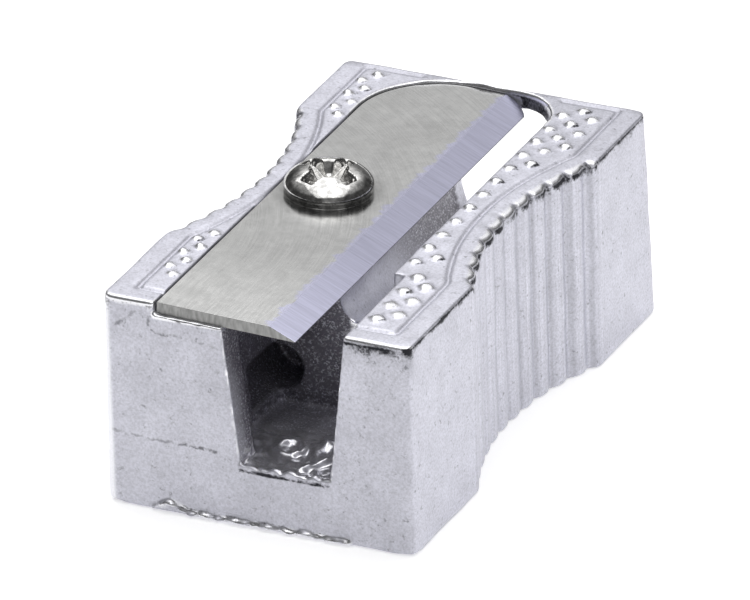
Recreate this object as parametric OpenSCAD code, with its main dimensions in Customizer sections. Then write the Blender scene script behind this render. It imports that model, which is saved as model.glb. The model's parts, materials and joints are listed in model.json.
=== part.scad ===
// Metal wedge pencil sharpener, one hole: a cast body, a flat blade and the screw that
// holds it. Own frame: +Z up, the tip end towards -Y, the pencil goes in at the +Y end.

/* [Body] */
// Width across the flat ends, X
body_w = 15; // [12:0.1:20]
// Length along the base, Y
body_l = 26.5; // [22:0.1:32]
// Height of the top face above the base
body_h = 10.4; // [8:0.1:14]
// How far the top edge of the pencil end stands back from the base
end_slant = 0.7; // [0:0.1:1.5]
// Radius of the four upright corners
corner_r = 0.4; // [0.3:0.1:2]

/* [Finger grip] */
// Depth of the waist on each side
waist_depth = 1.45; // [0.5:0.05:2]
// Radius of the waist
waist_r = 16; // [12:0.5:30]
// Middle of the waist, measured from the tip end
waist_y = 13.6; // [10:0.1:16]
// Upright round ribs in each waist
ribs = 10; // [4:1:12]
// Spacing of the ribs along the body
rib_pitch = 1.27; // [1:0.01:1.5]
// Radius of one rib
rib_r = 0.8; // [0.78:0.01:1.2]
// Height trimmed off the crest of each rib
rib_trim = 0.04; // [0.02:0.01:0.1]

/* [Top face] */
// Width of the flat border round the top face
border_w = 1.3; // [0.6:0.05:2]
// Width of the same border at the pencil end
border_end = 0.5; // [0.5:0.02:1.5]
// Width of the line cut inside the border
line_w = 0.26; // [0.15:0.01:0.5]
// Depth of that line
line_d = 0.12; // [0.05:0.01:0.3]
// Distance of the first stud from the tip end
stud_y = 2.2; // [1.8:0.05:4]
// Spacing of the studs along a row
stud_pitch = 1.45; // [1:0.05:2]
// Side of one square stud
stud_s = 0.5; // [0.3:0.05:0.8]
// Height of a stud
stud_h = 0.14; // [0.05:0.01:0.3]
// Distance of the first stud row from the window and from the blade
stud_gap = 0.45; // [0.3:0.05:1]

/* [Blade seat] */
// Left wall of the seat, X
seat_x = -5; // [-6:0.05:-4]
// Depth of the seat at its left wall
seat_d = 0.6; // [0.4:0.05:1]
// Slope of the seat down towards the cutting edge, degrees
seat_tilt = 1.8; // [0:0.1:5]
// Thickness of the rim left between seat and pencil end
rim_w = 0.25; // [0.2:0.05:1]
// Corner radius of the seat at the pencil end, blade side
seat_r = 4; // [2:0.1:4.5]
// Corner radius of the seat at the pencil end, window side
window_r = 2.5; // [2:0.1:4]
// Right wall of the shavings window, X
window_x = 3.7; // [3:0.05:5]
// Left wall of the window under the blade, at its narrow end, X
window_left = 1.2; // [0.8:0.05:1.6]

/* [Blade] */
// Thickness of the blade
blade_t = 0.55; // [0.4:0.05:0.8]
// Width of the blade from its back to the cutting edge
blade_w = 6.8; // [6:0.05:8]
// Width of the ground bevel
bevel_w = 1.25; // [0.8:0.05:1.6]
// Flat left along the very edge
edge_land = 0.03; // [0.02:0.01:0.06]
// Gap between the blade and the walls of its seat
blade_gap = 0.08; // [0.05:0.01:0.2]
// Distance of the blade from the tip end face
blade_y = 0.2; // [0:0.05:1]
// Corner radius of the blade at the pencil end, cutting side
blade_r = 1.3; // [1:0.1:2.5]
// Width ground off that side of the blank
blade_trim = 0.12; // [0.05:0.01:0.5]

/* [Screw] */
// Distance of the screw from the left wall of the seat
screw_x = 2.35; // [2:0.05:3]
// Distance of the screw from the tip end
screw_y = 13.4; // [10:0.1:16]
// Diameter of the head
head_d = 4.1; // [3.5:0.1:5]
// Height of the upright rim of the head
head_rim = 0.42; // [0.3:0.02:0.8]
// Height of the domed part above the rim
head_dome = 0.74; // [0.4:0.02:1]
// Diameter of the shank
shank_d = 1.98; // [1.5:0.02:3]
// Length of the shank below the head
shank_l = 5.4; // [4:0.1:7]
// Radial clearance of the shank in its holes
shank_gap = 0.05; // [0.02:0.01:0.1]
// Length of one arm of the cross recess, end to end
cross_l = 2.5; // [2:0.1:3]
// Width of one arm of the cross recess
cross_w = 0.5; // [0.3:0.05:0.8]
// Depth of the cross recess
cross_d = 0.8; // [0.4:0.05:1]
// How far the cross recess is turned from the width of the body, in degrees
cross_turn = 70; // [0:5:85]

/* [Pencil hole] */
// Radius of the pencil hole at its mouth
mouth_r = 4; // [3.5:0.1:5]
// Half angle of the cone, which is also the slope of its axis, degrees
cone_half = 9.2; // [8:0.1:12]
// Point of the cone, measured from the tip end
cone_y = 0.55; // [0:0.05:3]
// Sideways position of the cone, X
cone_x = 2.05; // [1.5:0.05:3]

/* [Tip chamber] */
// Depth of the chamber from the tip end
tip_depth = 6.6; // [5:0.1:9]
// Height of the chamber floor above the base
tip_floor = 3; // [2:0.1:4]
// Thickness of the lip at the left of the opening
lip_t = 1.5; // [1:0.1:2.5]
// Left edge of the opening at the floor, X
tip_left = -0.93; // [-2:0.05:0]
// Left edge of the opening at the top, X
tip_left_top = -1.75; // [-3:0.05:-1]
// Right edge of the opening at the floor, X
tip_right = 3.4; // [3:0.05:4.5]
// Right edge of the opening at the top, X
tip_right_top = 4.3; // [3:0.05:5]
// How much wider the chamber is behind the lip
tip_under = 1.1; // [0.5:0.05:2]
// Radius of the round hollow at the left of the chamber
core_r = 1.15; // [0.8:0.05:1.5]
// Height of its middle above the chamber floor
core_z = 1.7; // [1.5:0.05:3]
// How far it comes forward of the back of the chamber
core_front = 2.7; // [1:0.1:4]
// How deep it goes behind the back of the chamber
core_back = 2.4; // [1:0.1:4]

/* [Output] */
// Part to draw

/* [Hidden] */
$fn = 96;
eps = 0.01;
far = 60;
top_l = body_l - end_slant;
waist_cx = body_w/2 + waist_r - waist_depth;
seat_end = top_l - rim_w;
seat_z = body_h - seat_d;
edge_z = seat_z - (blade_w + blade_gap)*sin(seat_tilt);
hole_r = shank_d/2 + shank_gap;
dome_r = (pow(head_d/2, 2) + pow(head_dome, 2))/(2*head_dome);
body_col = [0.80, 0.80, 0.83];
blade_col = [0.70, 0.70, 0.67];
screw_col = [0.90, 0.90, 0.90];

// ---- frames ----
// Lengthwise positions are given from the tip end; the finished part is centred on Y.
module centred() translate([0, -body_l/2, 0]) children();

// Frame of the blade seat: x from its left wall, z from its floor.
module seat_frame() translate([seat_x, 0, seat_z]) rotate([0, seat_tilt, 0]) children();

// Frame of the cone: origin at its point, +z along the axis towards the mouth.
module cone_frame() translate([cone_x, cone_y, edge_z]) rotate([-90 - cone_half, 0, 0]) children();

// ---- shared outlines ----
// Rounded rectangle from y = a to y = b, drawn in by d at the sides.
module slab(a, b, d = 0) {
    w = body_w/2 - d;
    r = max(corner_r - d/2, 0.2);
    translate([-w, a + r]) square([2*w, b - a - 2*r]);
    translate([-w + r, a]) square([2*w - 2*r, b - a]);
    for (x = [-w + r, w - r], y = [a + r, b - r]) translate([x, y]) circle(r);
}

// The same with the waist taken out.
module outline(a, b, d = 0) difference() {
    slab(a, b, d);
    for (s = [-1, 1]) translate([s*waist_cx, waist_y]) circle(waist_r + d, $fn = 180);
}

// Inside edge of the border at height y, as a distance from the middle line.
function inner_edge(y) = let (dy = abs(y - waist_y), r = waist_r + border_w)
    min(body_w/2 - border_w, dy < r ? waist_cx - sqrt(r*r - dy*dy) : body_w);

// Plan of the seat and window, right wall at x = right, drawn in by d.
module seat_plan(right, d = 0) {
    l = seat_end - d;
    translate([seat_x + d, -1]) square([right - seat_x - 2*d, l - seat_r + 1]);
    translate([seat_x + seat_r, 0]) square([right - seat_x - seat_r - window_r, l]);
    translate([seat_x + seat_r, l + d - seat_r]) circle(seat_r - d);
    translate([right - window_r, l + d - window_r]) circle(window_r - d);
    translate([right - window_r, 0]) square([window_r - d, l - window_r]);
}

// ---- body ----
// What is cut away between the ribs of one side; the two outermost ribs run out into the flats.
module rib_gaps() difference() {
    intersection() {
        difference() {
            translate([waist_cx, waist_y]) circle(waist_r + rib_r, $fn = 180);
            translate([waist_cx, waist_y]) circle(waist_r - rib_r, $fn = 180);
        }
        translate([0, waist_y - (ribs + 1)*rib_pitch/2]) square([body_w, (ribs + 1)*rib_pitch]);
    }
    for (i = [-1 : ribs]) {
        dy = (i - (ribs - 1)/2)*rib_pitch;
        l = waist_r + rib_r - rib_trim;
        translate([waist_cx - sqrt(l*l - dy*dy), waist_y + dy]) circle(rib_r, $fn = 48);
    }
}

module block() difference() {
    intersection() {
        linear_extrude(body_h) outline(0, body_l + far);
        translate([0, body_l, 0]) rotate([atan(end_slant/body_h), 0, 0])
            translate([0, 0, -5]) linear_extrude(body_h + 10) slab(-body_l - 10, 0);
    }
    for (s = [0, 1]) mirror([s, 0, 0]) translate([0, 0, -1]) linear_extrude(body_h + 2) rib_gaps();
}

// The line stops short of the thin rim behind the seat.
module border_line() translate([0, 0, body_h - line_d]) linear_extrude(1) difference() {
    outline(border_w - line_w, top_l - border_end + line_w, border_w - line_w);
    outline(border_w, top_l - border_end, border_w);
    a = seat_x + 0.4*seat_r;
    translate([a, top_l - 3]) square([window_x - 0.15*window_r - a, 5]);
}

module studs() for (side = [-1, 1], i = [0 : 3], j = [0 : 18]) {
    y = stud_y + (j + (i % 2)/2)*stud_pitch;
    wall = side > 0 ? (y < tip_depth + 0.9 ? tip_right_top + 0.2 : window_x) : -seat_x;
    x = wall + stud_gap + i*stud_pitch/2;
    if (x < inner_edge(y) - 0.75*stud_s && y < top_l - border_end - 0.75*stud_s)
        translate([side*x, y, body_h - 0.1]) rotate([0, 0, 45])
            translate([-stud_s/2, -stud_s/2, 0]) cube([stud_s, stud_s, stud_h + 0.1]);
}

module seat_cut() seat_frame() translate([-seat_x, 0, 0]) linear_extrude(3) seat_plan(window_x);

// The window goes down through the seat to the axis of the cone.
module window_cut() difference() {
    translate([0, 0, 4]) linear_extrude(body_h) difference() {
        seat_plan(window_x);
        polygon([[seat_x - 1, -2], [window_left, -2], [window_left, tip_depth],
                 [window_left - 1, top_l], [seat_x - 1, top_l]]);
        translate([seat_x, -2]) square([2*body_w, tip_depth + 2 - eps]);
    }
    cone_frame() translate([-far/2, 0, -far/2]) cube([far, far/2, far*2]);
}

// A cone up to the mouth's radius, then straight.
module pencil_hole() cone_frame() rotate_extrude() {
    start = (tip_depth - cone_y)/cos(cone_half) - 0.8;
    meet = mouth_r/tan(cone_half);
    polygon([[0, start], [start*tan(cone_half), start], [mouth_r, meet],
             [mouth_r, meet + 6], [0, meet + 6]]);
}

// Opening at the tip end, wider at the top, and wider still behind its left lip.
module tip_opening(left, back) rotate([90, 0, 0]) translate([0, 0, -back]) linear_extrude(back + 1)
    polygon([[tip_left - left, tip_floor], [tip_right, tip_floor],
             [tip_right_top, body_h], [tip_right_top, body_h + 1],
             [tip_left_top - left, body_h + 1], [tip_left_top - left, body_h]]);

module tip_chamber() {
    tip_opening(0, tip_depth);
    intersection() {
        tip_opening(tip_under, tip_depth);
        translate([-far/2, lip_t, 0]) cube([far, far, seat_z - 1.2]);
    }
    translate([tip_left - tip_under, tip_depth - core_front, tip_floor + core_z]) rotate([-90, 0, 0])
        cylinder(h = core_front + core_back, r = core_r, $fn = 48);
}

module screw_hole() seat_frame() translate([screw_x, screw_y, -shank_l - 0.6])
    cylinder(h = shank_l + 3, r = hole_r, $fn = 48);

module body() color(body_col) centred() {
    difference() {
        union() { block(); studs(); }
        border_line();
        seat_cut();
        window_cut();
        pencil_hole();
        tip_chamber();
        screw_hole();
    }
}

// ---- blade ----
module blade_plan() intersection() {
    l = seat_end - blade_gap;
    r = seat_r - blade_gap;
    x = blade_gap + blade_w + blade_trim - blade_r;
    union() {
        translate([blade_gap, blade_y]) square([x - blade_gap, l - blade_y - seat_r]);
        translate([blade_gap + r, blade_y]) square([x - blade_gap - r, l - blade_y]);
        translate([blade_gap + r, l - r]) circle(r);
        translate([x, l - blade_r]) circle(blade_r);
        translate([x - eps, blade_y]) square([blade_r + eps, l - blade_y - blade_r]);
    }
    translate([0, -1]) square([blade_gap + blade_w, body_l]);
}

module blade() color(blade_col) centred() seat_frame() difference() {
    linear_extrude(blade_t) blade_plan();
    translate([blade_gap + blade_w, -1, edge_land]) rotate([0, atan((blade_t - edge_land)/bevel_w), 0])
        translate([-2*bevel_w, 0, 0]) cube([4*bevel_w, far, 3]);
    translate([screw_x, screw_y, -1]) cylinder(h = 3, r = hole_r, $fn = 48);
}

// ---- screw ----
module screw() color(screw_col) centred() seat_frame() translate([screw_x, screw_y, blade_t]) difference() {
    union() {
        translate([0, 0, -shank_l]) cylinder(h = shank_l + eps, d = shank_d, $fn = 48);
        cylinder(h = head_rim, d = head_d);
        intersection() {
            translate([0, 0, head_rim + head_dome - dome_r]) sphere(dome_r);
            translate([0, 0, head_rim - eps]) cylinder(h = head_dome + 1, d = head_d);
        }
    }
    for (a = [0, 90]) rotate([0, 0, cross_turn + a]) translate([-cross_l/2, -cross_w/2, head_rim + head_dome - cross_d])
        cube([cross_l, cross_w, 2]);
}

body();
blade();
screw();
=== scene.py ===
"""Looks of a one-hole metal pencil sharpener: cast body, ground blade, plated screw."""
import json
import math
from types import SimpleNamespace

import bmesh
import bpy
import numpy as np
from bpy.props import FloatProperty, FloatVectorProperty, IntProperty, PointerProperty
from mathutils import Matrix, Vector


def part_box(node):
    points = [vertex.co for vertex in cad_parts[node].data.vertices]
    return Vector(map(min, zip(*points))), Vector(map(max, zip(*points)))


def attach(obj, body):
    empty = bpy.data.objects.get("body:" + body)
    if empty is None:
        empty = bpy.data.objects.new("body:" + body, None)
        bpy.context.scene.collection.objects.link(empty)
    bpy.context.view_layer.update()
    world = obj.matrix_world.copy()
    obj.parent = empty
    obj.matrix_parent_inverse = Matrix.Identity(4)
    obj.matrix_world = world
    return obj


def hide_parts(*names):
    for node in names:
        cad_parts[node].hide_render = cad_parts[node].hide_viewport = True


bl_info = {
    "name": "Metal wedge sharpener",
    "version": (1, 0, 0),
    "blender": (4, 5, 0),
    "location": "View3D > Sidebar > Sharpener",
    "description": "Cast body, ground blade and plated screw of a one-hole metal pencil sharpener",
    "category": "Object",
}

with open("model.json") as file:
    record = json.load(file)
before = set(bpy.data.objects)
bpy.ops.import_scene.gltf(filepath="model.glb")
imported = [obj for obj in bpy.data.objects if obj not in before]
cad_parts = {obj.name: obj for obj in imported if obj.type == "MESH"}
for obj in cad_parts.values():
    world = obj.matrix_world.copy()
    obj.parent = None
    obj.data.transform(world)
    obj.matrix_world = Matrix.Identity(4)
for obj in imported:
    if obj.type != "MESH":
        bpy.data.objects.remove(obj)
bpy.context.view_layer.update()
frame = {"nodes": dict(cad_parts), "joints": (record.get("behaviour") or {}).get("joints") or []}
BODY_LOW, BODY_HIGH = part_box("body")
MM = 1000.0


# ---------------------------------------------------------------- small helpers
def linear(hex_colour):
    """An sRGB hex colour as linear RGB."""
    parts = [int(hex_colour[i:i + 2], 16) / 255 for i in (0, 2, 4)]
    return tuple(c / 12.92 if c <= 0.04045 else ((c + 0.055) / 1.055) ** 2.4 for c in parts)


def rgba(colour):
    return (*tuple(colour)[:3], 1.0)


def add(tree, kind, inputs=None, **settings):
    """Add a node. settings are its properties; inputs are socket values, or output sockets to link."""
    node = tree.nodes.new(kind)
    for key, value in settings.items():
        setattr(node, key, value)
    for key, value in (inputs or {}).items():
        if isinstance(value, bpy.types.NodeSocket):
            tree.links.new(value, node.inputs[key])
        else:
            node.inputs[key].default_value = value
    return node


def new_material(name):
    material = bpy.data.materials.new(name)
    material.use_nodes = True
    material.node_tree.nodes.clear()
    return material, material.node_tree


def smooth_step(low, high, value):
    t = np.clip((value - low) / (high - low), 0.0, 1.0)
    return t * t * (3 - 2 * t)


def span(value, start, full, fade, end):
    """1 between full and fade, falling smoothly to 0 at start and at end."""
    return smooth_step(start, full, value) * smooth_step(end, fade, value)


def bell(value, middle, width):
    return np.exp(-((value - middle) / width) ** 2)


def relief(points, size, seed, waves=28):
    """Smooth random relief with features about size across; most values lie within -1 and 1."""
    rng = np.random.default_rng(seed)
    ways = rng.normal(size=(waves, 3))
    ways /= np.linalg.norm(ways, axis=1)[:, None]
    ways *= (2 * math.pi / (size * rng.uniform(1.4, 3.2, waves)))[:, None]
    return np.sin(points @ ways.T + rng.uniform(0, 2 * math.pi, waves)).sum(1) / math.sqrt(waves)


def read_mesh(mesh):
    """Vertices, edges and faces of a mesh; faces as a list of index tuples."""
    points = np.empty(len(mesh.vertices) * 3)
    mesh.vertices.foreach_get("co", points)
    edges = np.empty(len(mesh.edges) * 2, int)
    mesh.edges.foreach_get("vertices", edges)
    return points.reshape(-1, 3), edges.reshape(-1, 2), [tuple(p.vertices) for p in mesh.polygons]


def normals_of(mesh):
    out = np.empty(len(mesh.vertices) * 3)
    mesh.vertices.foreach_get("normal", out)
    return out.reshape(-1, 3)


def make_mesh(name, points, faces):
    mesh = bpy.data.meshes.new(name)
    mesh.from_pydata(points.tolist() if hasattr(points, "tolist") else points, [], faces)
    mesh.update()
    return mesh


def link(name, mesh):
    piece = bpy.data.objects.new(name, mesh)
    bpy.context.scene.collection.objects.link(piece)
    return piece


def applied(piece, kind, **settings):
    """The piece's mesh with one modifier applied, as a new mesh."""
    modifier = piece.modifiers.new(kind.title(), kind)
    for key, value in settings.items():
        setattr(modifier, key, value)
    bpy.context.view_layer.update()
    graph = bpy.context.evaluated_depsgraph_get()
    mesh = bpy.data.meshes.new_from_object(piece.evaluated_get(graph))
    piece.modifiers.remove(modifier)
    return mesh


def relax(points, edges, weight, turns):
    """Move each point towards the mean of its neighbours, by its weight."""
    a, b = edges.T
    count = np.bincount(np.concatenate([a, b]), minlength=len(points))[:, None]
    for _ in range(turns):
        total = np.stack([np.bincount(a, points[b, k], len(points))
                          + np.bincount(b, points[a, k], len(points)) for k in range(3)], 1)
        points = points + 0.5 * weight[:, None] * (total / count - points)
    return points


def store(mesh, name, values):
    """Keep a value from 0 to 1 at each point, for a material to read."""
    layer = mesh.attributes.new(name, "FLOAT", "POINT")
    layer.data.foreach_set("value", np.clip(values, 0, 1).astype(np.float32))


# ---------------------------------------------------------------- settings
class CastingSettings(bpy.types.PropertyGroup):
    width: FloatProperty(name="Width", description="Across the flat ends",
                         default=round(BODY_HIGH[0] - BODY_LOW[0], 6), unit="LENGTH")
    length: FloatProperty(name="Length", description="Along the base",
                          default=round(BODY_HIGH[1] - BODY_LOW[1], 6), unit="LENGTH")
    height: FloatProperty(name="Height", description="Base to top face", default=0.0104, unit="LENGTH")
    slant: FloatProperty(name="End slant", description="How far the top of the pencil end stands back",
                         default=0.0007, unit="LENGTH")
    rim: FloatProperty(name="Rim", description="Rim left behind the blade seat", default=0.00025,
                       unit="LENGTH")
    waist_depth: FloatProperty(name="Waist depth", description="Depth of the finger grip", default=0.00145,
                               unit="LENGTH")
    waist_radius: FloatProperty(name="Waist radius", description="Radius of the finger grip", default=0.016,
                                unit="LENGTH")
    waist_middle: FloatProperty(name="Waist middle", description="Distance from the tip end", default=0.0136,
                                unit="LENGTH")
    ribs: IntProperty(name="Ribs", description="Upright ribs in each finger grip", default=10, min=4, max=12)
    rib_pitch: FloatProperty(name="Rib spacing", description="Spacing of the ribs", default=0.00127,
                             unit="LENGTH")
    stud_pitch: FloatProperty(name="Stud spacing",
                              description="Spacing of the studs in a row", default=0.00145,
                              unit="LENGTH")
    stud_start: FloatProperty(name="First stud", description="Distance from the tip end", default=0.0022,
                              unit="LENGTH")
    stud_size: FloatProperty(name="Stud size", description="Half of a stud's diagonal", default=0.00037,
                             unit="LENGTH")
    stud_height: FloatProperty(name="Stud height", description="Height of a stud", default=0.00014,
                               unit="LENGTH")
    skin: FloatVectorProperty(name="Casting skin", description="Colour of the tumbled cast metal",
                              subtype="COLOR", default=linear("DEDEE8"))
    worn: FloatVectorProperty(name="Burnished edge",
                              description="Colour where tumbling has polished the edges",
                              subtype="COLOR", default=linear("F0F0F4"))
    # The graphite colour is also the colour of the painted shade deep in the chamber.
    graphite: FloatVectorProperty(name="Graphite", description="Colour of the graphite left in the chamber",
                                  subtype="COLOR", default=linear("6A6670"))
    # This colour is also the painted shade under the top edge, in the ribs' grooves, beside the studs and in
    # hollows.
    grime_and_shade: FloatVectorProperty(name="Grime",
                               description="Colour of the oxide and tumbling residue in corners",
                               subtype="COLOR", default=linear("26262E"))


class BladeSettings(bpy.types.PropertyGroup):
    steel: FloatVectorProperty(name="Steel", description="Colour of the ground steel", subtype="COLOR",
                               default=linear("C6C6C5"))
    bevel: FloatVectorProperty(name="Bevel", description="Colour of the ground bevel", subtype="COLOR",
                               default=linear("B4B4C8"))
    bevel_width: FloatProperty(name="Bevel width", description="Width of the ground bevel", default=0.00125,
                               unit="LENGTH")
    edge_round: FloatProperty(name="Edge break", description="Rounding of the blade's edges", default=0.00004,
                              unit="LENGTH")
    wheel_x: FloatProperty(name="Grinding centre X", description="Centre of the round grinding marks",
                           default=-0.01533, unit="LENGTH")
    wheel_y: FloatProperty(name="Grinding centre Y", description="Centre of the round grinding marks",
                           default=-0.00821, unit="LENGTH")


class ScrewSettings(bpy.types.PropertyGroup):
    head: FloatProperty(name="Head diameter", description="Diameter of the head", default=0.0041,
                        unit="LENGTH")
    rim: FloatProperty(name="Rim height", description="Upright part of the head", default=0.00042,
                       unit="LENGTH")
    dome: FloatProperty(name="Dome height", description="Height of the dome", default=0.00079, unit="LENGTH")
    shank: FloatProperty(name="Thread diameter", description="Outer diameter of the thread", default=0.00198,
                         unit="LENGTH")
    shank_length: FloatProperty(name="Thread length", description="Length below the head", default=0.0054,
                                unit="LENGTH")
    pitch: FloatProperty(name="Thread pitch", description="Rise of the thread in one turn", default=0.0004,
                         unit="LENGTH")
    plate: FloatVectorProperty(name="Plating", description="Colour of the nickel plate", subtype="COLOR",
                               default=linear("E6E5E3"))


class StageSettings(bpy.types.PropertyGroup):
    floor: FloatVectorProperty(name="Floor", description="Colour of the floor", subtype="COLOR",
                               default=linear("F0F0F0"))
    softbox_power: FloatProperty(name="Softbox", description="Power of the overhead softbox in watts",
                                 default=0.54, min=0)


# ---------------------------------------------------------------- materials
# Fine cracks and a scratch on the tip end, in mm: where each starts and ends, and how dark it is.
CRACKS = (((-5.2, 9.7), (-5.3, 9.1), 0.5), ((-5.3, 9.1), (-4.95, 8.85), 0.5),
          ((-4.95, 8.85), (-3.7, 8.95), 0.4), ((-3.1, 8.9), (-1.7, 8.6), 0.3),
          ((-7.2, 8.6), (-6.6, 9.2), 0.45), ((-6.4, 9.4), (-5.9, 9.8), 0.3),
          ((-7.3, 3.65), (-4.2, 3.55), 0.4), ((-4.0, 3.55), (-2.0, 3.48), 0.65))
# Patterns of the cast skin: features per mm along X, Y and Z, the noise's detail and roughness, then the
# two noise values between which the tone changes, and the tone at each.
SPECKLE = ((1 / 0.11,) * 3, 3, 0.65, 0.35, 0.62, 0.82, 1.04)  # the skin's grain, 0.11 mm across
CLOUDS = ((1 / 1.5,) * 3, 3, 0.6, 0.3, 0.7, 0.94, 1.05)  # broader shades of 1.5 mm
DIE_MARKS = ((3.0, 8.0, 0.12), 2, 0.5, 0.3, 0.7, 0.90, 1.08)  # upright lines 0.12 mm apart
PINHOLES = ((1 / 0.28,) * 3, 2, 0.7, 0.63, 0.74, 1.0, 0.6)  # pinholes and specks of residue of 0.12 mm
SCRATCHES = ((0.3, 0.3, 7.0), 2, 0.6, 0.66, 0.76, 1.0, 0.84)  # level, 0.03 mm wide and some 2 mm long


def crack(tree, mm, a, b, depth, front):
    """Tone of a wavering, broken line 0.08 mm wide from a to b on the tip end; 1 away from it."""
    waver_reach = 0.36
    a, b = Vector((a[0], front, a[1])), Vector((b[0], front, b[1]))
    way = tuple((b - a).normalized())
    waver = add(tree, "ShaderNodeTexNoise", {"Vector": mm, "Scale": 1 / 0.35, "Detail": 3}).outputs["Color"]
    waver = add(tree, "ShaderNodeVectorMath", {0: waver, "Scale": waver_reach}, operation="SCALE").outputs[0]
    place = add(tree, "ShaderNodeVectorMath", {0: mm, 1: waver}, operation="ADD").outputs[0]
    start = tuple(a + Vector((waver_reach / 2,) * 3))
    place = add(tree, "ShaderNodeVectorMath", {0: place, 1: start}, operation="SUBTRACT").outputs[0]
    along = add(tree, "ShaderNodeVectorMath", {0: place, 1: way}, operation="DOT_PRODUCT").outputs["Value"]
    along = add(tree, "ShaderNodeClamp", {"Value": along, "Min": 0.0, "Max": (b - a).length}).outputs[0]
    foot = add(tree, "ShaderNodeVectorMath", {0: way, "Scale": along}, operation="SCALE").outputs[0]
    away = add(tree, "ShaderNodeVectorMath", {0: place, 1: foot}, operation="DISTANCE").outputs["Value"]
    broken = add(tree, "ShaderNodeTexNoise", {"Vector": mm, "Scale": 1 / 0.3, "Detail": 2}).outputs["Fac"]
    broken = add(tree, "ShaderNodeMapRange", {"Value": broken, "From Min": 0.38, "From Max": 0.52,
                                              "To Min": 1.0, "To Max": 1 - depth}).outputs[0]
    return add(tree, "ShaderNodeMapRange", {"Value": away, "From Min": 0.03, "From Max": 0.10,
                                            "To Min": broken, "To Max": 1.0}).outputs[0]


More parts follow.
